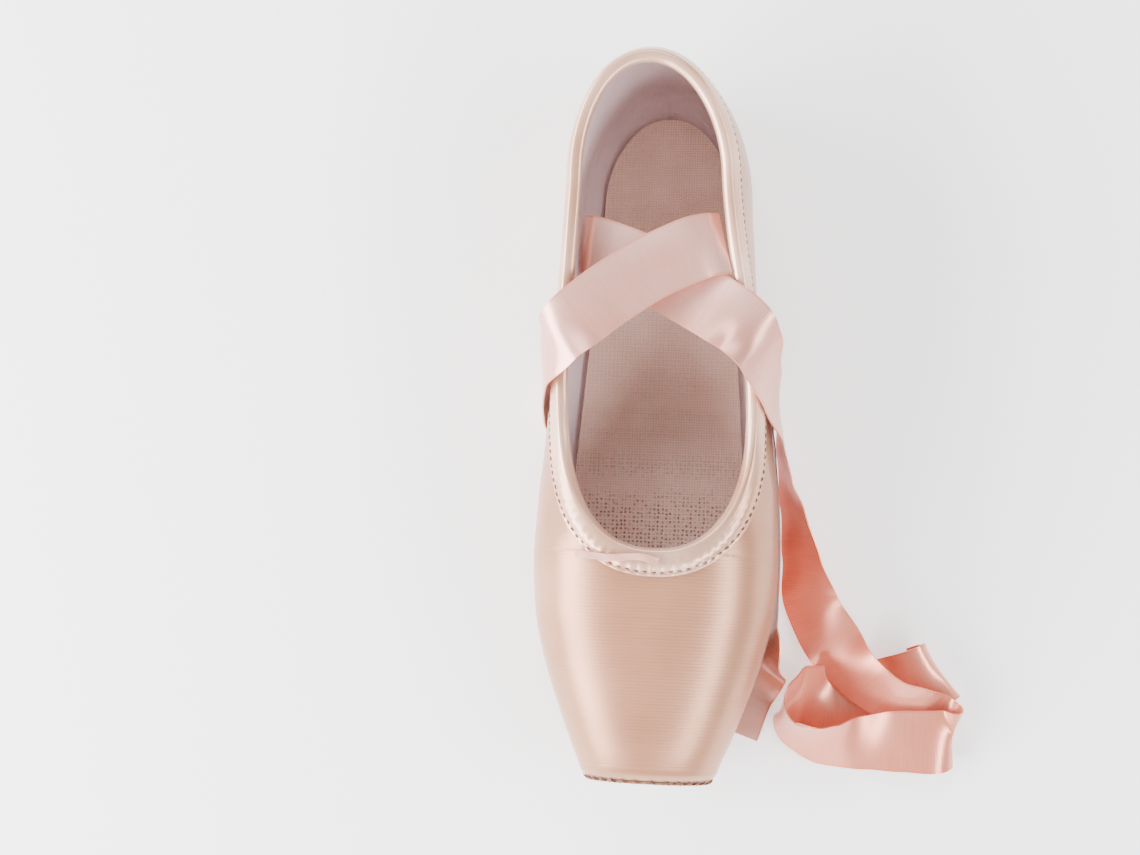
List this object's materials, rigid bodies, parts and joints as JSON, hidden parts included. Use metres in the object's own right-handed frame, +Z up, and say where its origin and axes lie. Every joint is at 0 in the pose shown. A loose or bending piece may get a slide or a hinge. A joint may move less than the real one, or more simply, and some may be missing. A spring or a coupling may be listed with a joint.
{
  "type": "pointe shoe",
  "caption": "Satin pointe shoe with a stiff toe box, flat suede-tipped platform, thin leather sole, gathered collar casing and crossed ribbons.",
  "frame": {"origin": "on the floor under the middle of the shoe", "axes": "+Y from the toe's platform to the heel, +Z up, +X to the right as seen from above with the heel away"},
  "size_m": [0.1491, 0.2471, 0.0664],
  "materials": {
    "upper": "peach-pink satin",
    "outsole": "thin brown suede-side leather",
    "insole": "beige-pink woven cloth",
    "toe_patch": "tan suede",
    "casing": "peach-pink satin, gathered",
    "drawstring": "pink cotton tape",
    "ribbon": "pink satin ribbon"
  },
  "bodies": {
    "root": {"upper": "upper", "outsole": "outsole", "insole": "insole", "toe_patch": "toe_patch", "collar_casing": "casing", "drawstring": "drawstring", "ribbon_left": "ribbon", "ribbon_right": "ribbon", "ribbon_left_tail": "ribbon", "ribbon_right_tail": "ribbon"}
  },
  "joints": []
}
